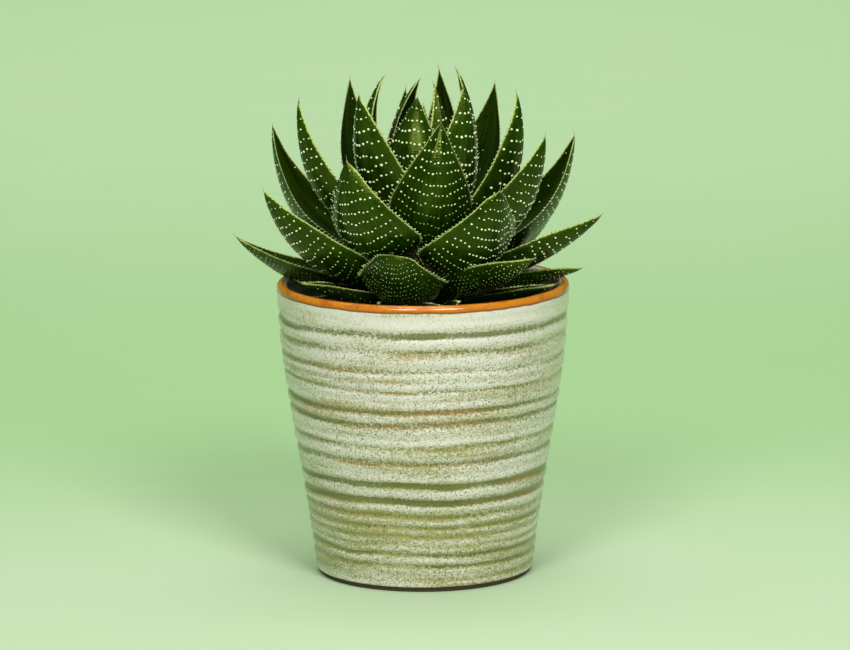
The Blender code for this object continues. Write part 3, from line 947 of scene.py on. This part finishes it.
def teeth_on(tree, given):
    """Small cones along both margins, leaning towards the tip, as instances."""
    margin = sum_of(tree, "ABSOLUTE", named_in(tree, "margin"))
    edges = put(
        tree, "GeometryNodeMeshToCurve", {0: given[0], 1: sum_of(tree, "GREATER_THAN", margin, 0.99)}
    ).outputs[0]
    spaced = put(tree, "GeometryNodeResampleCurve", {0: edges, "Length": given["Tooth Pitch"]}, mode="LENGTH").outputs[0]
    along = named_in(tree, "along")
    chosen = sum_of(tree, "MULTIPLY", sum_of(tree, "GREATER_THAN", along, 0.16), sum_of(tree, "LESS_THAN", along, 0.97))
    chosen = sum_of(tree, "MULTIPLY", chosen, sum_of(tree, "LESS_THAN", random_in(tree, 0.0, 1.0, 6, given), 0.9))
    lean = named_in(tree, "tooth_lean", "FLOAT_VECTOR")
    turn = put(tree, "FunctionNodeAlignRotationToVector", {"Vector": lean}, axis="Z").outputs[0]
    size = sum_of(tree, "MULTIPLY", random_in(tree, 0.55, 1.2, 7, given), spread(tree, along, 0.55, 0.98, 1.0, 0.45))
    scale = put(tree, "ShaderNodeCombineXYZ", {0: size, 1: size, 2: size}).outputs[0]
    cone = put(
        tree, "GeometryNodeMeshCone",
        {0: 5, 3: 0.0, 4: sum_of(tree, "MULTIPLY", given["Tooth Size"], 0.25), 5: given["Tooth Size"]},
    ).outputs[0]  # fmt: skip
    return put(
        tree, "GeometryNodeInstanceOnPoints",
        {0: spaced, "Selection": chosen, "Instance": cone, "Rotation": turn, "Scale": scale},
    ).outputs[0]  # fmt: skip


def lace_tree():
    tree, given = new_tree(
        "lace_and_teeth", Length=0.08, Half_Width=0.015, Row_Pitch=0.0034, Dot_Pitch=0.0015, Dot_Size=0.0008,
        Scatter=0.2, Start=0.2, White_From=0.3, Fullness=0.9, Inner_Fullness=0.1, Tooth_Pitch=0.0016, Tooth_Size=0.001, Seed=1,
        Lace=None, Tooth=None,
    )  # fmt: skip
    outside = bumps_on(tree, given, 0.0, 1.0, 1.0)
    inside = bumps_on(tree, given, LEAF_UV_GAP, given["Inner Fullness"], 0.8)
    both = tree.nodes.new("GeometryNodeJoinGeometry")
    tree.links.new(outside, both.inputs[0])
    tree.links.new(inside, both.inputs[0])
    lace = instances_made_real(tree, both.outputs[0], given["Lace"])
    teeth = instances_made_real(tree, teeth_on(tree, given), given["Tooth"])
    joined = tree.nodes.new("GeometryNodeJoinGeometry")
    for part in (teeth, lace, given[0]):
        tree.links.new(part, joined.inputs[0])
    end_tree(tree, joined.outputs[0])
    return tree


# %% [markdown]
# ### Leaf finishes
# The skin is a dark, waxy green, with a thin cream line of gristle along each margin and a brown, dry
# end; its inner face is painted darker than the outer face, as painted shade. Faint wrinkles run across
# it, and they break up the soft highlights. The bumps and teeth are cream-white, the bumps greener low
# on the leaf.

# %% Leaf finishes
LEAF_DARK = (0.006, 0.017, 0.0003)
LEAF_MID = (0.012, 0.036, 0.0003)
LEAF_INNER_PAINTED_SHADE = (0.005, 0.012, 0.0003)
LEAF_FRESH = (0.050, 0.088, 0.002)
MARGIN_CREAM = (0.50, 0.56, 0.18)
LACE_WHITE = (0.90, 0.95, 0.58)
LACE_GREEN = (0.26, 0.42, 0.08)
DRY = (0.075, 0.026, 0.010)


def skin_finish():
    made, tree, shader = new_finish("leaf_skin", IOR=1.45, Specular_IOR_Level=0.5, Specular_Tint=(0.8, 1.0, 0.2, 1))
    place = object_place(tree)
    uv = put(tree, "ShaderNodeUVMap", uv_map="UVMap").outputs[0]
    outer = named(tree, "outer_face")
    along = named(tree, "along")
    edge = named(tree, "edge_mm")
    tone = named(tree, "tone")
    cloud = grain(tree, place, 110.0, 4.0, 0.6)
    colour = blend_colour(tree, spread(tree, cloud, 0.34, 0.66), LEAF_DARK, LEAF_MID)
    # Painted shade: the inner face is coloured darker than the outer face.
    colour = blend_colour(tree, sum_of(tree, "MULTIPLY", sum_of(tree, "SUBTRACT", 1.0, outer), 0.8), colour, LEAF_INNER_PAINTED_SHADE)
    streaks = grain(tree, vector_of(tree, "MULTIPLY", uv, (60.0, 3.0, 1.0)), 1.0, 3.0)
    fresh = sum_of(tree, "MULTIPLY", spread(tree, streaks, 0.42, 0.75, 0.0, 0.5), spread(tree, tone, 0.0, 1.0, 0.25, 0.9))
    colour = blend_colour(tree, fresh, colour, LEAF_FRESH)
    near_edge = spread(tree, edge, 0.4, 1.6, 0.25, 0.0)
    colour = blend_colour(tree, near_edge, colour, LEAF_FRESH)
    uneven = spread(tree, grain(tree, place, 900.0, 2.0), 0.3, 0.7, 0.28, 0.62)
    line = put(tree, "ShaderNodeMapRange", {0: edge, 1: sum_of(tree, "MULTIPLY", uneven, 0.5), 2: uneven, 3: 1.0, 4: 0.0}).outputs[0]
    line = sum_of(tree, "MULTIPLY", line, spread(tree, along, 0.96, 1.0, 1.0, 0.3))
    colour = blend_colour(tree, line, colour, MARGIN_CREAM)
    tip = spread(tree, sum_of(tree, "ADD", along, sum_of(tree, "MULTIPLY", tone, 0.01)), 0.985, 1.0)
    colour = blend_colour(tree, tip, colour, DRY)
    tree.links.new(colour, shader.inputs["Base Color"])
    tree.links.new(spread(tree, cloud, 0.3, 0.7, 0.20, 0.33), shader.inputs["Roughness"])
    wrinkles = grain(tree, vector_of(tree, "MULTIPLY", uv, (9.0, 85.0, 1.0)), 1.0, 3.0)
    pores = grain(tree, place, 2600.0, 2.0)
    raise_grain(tree, shader, (wrinkles, 0.35 * MM, 0.45), (pores, 0.05 * MM, 0.5))
    return made


def bump_finish():
    made, tree, shader = new_finish("lace_bumps", Specular_IOR_Level=0.4)
    place = object_place(tree)
    mottle = grain(tree, place, 1300.0, 3.0)
    white = spread(tree, sum_of(tree, "ADD", named(tree, "bright"), sum_of(tree, "MULTIPLY", mottle, 0.5)), 0.35, 1.05)
    tree.links.new(blend_colour(tree, white, LACE_GREEN, LACE_WHITE), shader.inputs["Base Color"])
    tree.links.new(spread(tree, mottle, 0.3, 0.7, 0.4, 0.6), shader.inputs["Roughness"])
    raise_grain(tree, shader, (mottle, 0.08 * MM, 0.5))
    return made


def dry_finish(name, pale, brown):
    """Teeth and bristles: dry, horny and streaked."""
    made, tree, shader = new_finish(name, Specular_IOR_Level=0.4)
    streak = grain(tree, object_place(tree), 420.0, 3.0)
    tree.links.new(blend_colour(tree, spread(tree, streak, 0.45, 0.75), pale, brown), shader.inputs["Base Color"])
    tree.links.new(spread(tree, streak, 0.3, 0.7, 0.45, 0.65), shader.inputs["Roughness"])
    raise_grain(tree, shader, (streak, 0.06 * MM, 0.5))
    return made


skin = skin_finish()
bristle = dry_finish("bristle", (0.34, 0.30, 0.14), (0.13, 0.08, 0.03))
lace = bump_finish()
tooth = dry_finish("tooth", (0.86, 0.90, 0.50), (0.50, 0.52, 0.18))
lace_nodes = lace_tree()

# %% Grow every leaf
# How each tier of the rosette is dressed: row pitch, dot pitch and dot size in mm, scatter, the share
# of bumps on the outer and inner face, and how far along the leaf they begin to turn white.
TIERS = {
    "skirt_leaf": (2.8, 2.0, 0.60, 0.8, 0.60, 0.15, 0.6),
    "outer_leaf": (2.1, 1.35, 0.58, 0.2, 0.85, 0.12, 0.55),
    "middle_leaf": (4.2, 1.65, 0.98, 0.14, 0.95, 0.07, 0.3),
    "inner_leaf": (5.0, 1.80, 1.25, 0.10, 0.98, 0.05, 0.2),
    "heart_leaf": (3.8, 1.7, 0.90, 0.2, 0.9, 0.1, 0.3),
}
leaf_faces = 0
leaf_nodes = sorted(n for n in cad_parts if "_leaf_" in n)
for number, node in enumerate(leaf_nodes):
    row, dot, size, scatter, full, inner_full, white_from = TIERS[node[:-3]]
    chance = random.Random(number)
    leaf, length, half_width = blade("aloe_" + node, node, chance, (skin, bristle))
    grown(
        leaf, lace_nodes, Length=length, Half_Width=half_width, Row_Pitch=row * MM, Dot_Pitch=dot * MM,
        Dot_Size=size * MM, Scatter=scatter, Start=0.16, White_From=white_from, Fullness=full, Inner_Fullness=inner_full,
        Tooth_Pitch=1.9 * MM, Tooth_Size=1.6 * MM, Seed=number, Lace=lace, Tooth=tooth,
    )  # fmt: skip
    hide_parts(node)
    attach(leaf, "root")
    leaf_faces += len(leaf.data.polygons)
print(len(leaf_nodes), "leaves,", leaf_faces, "faces")
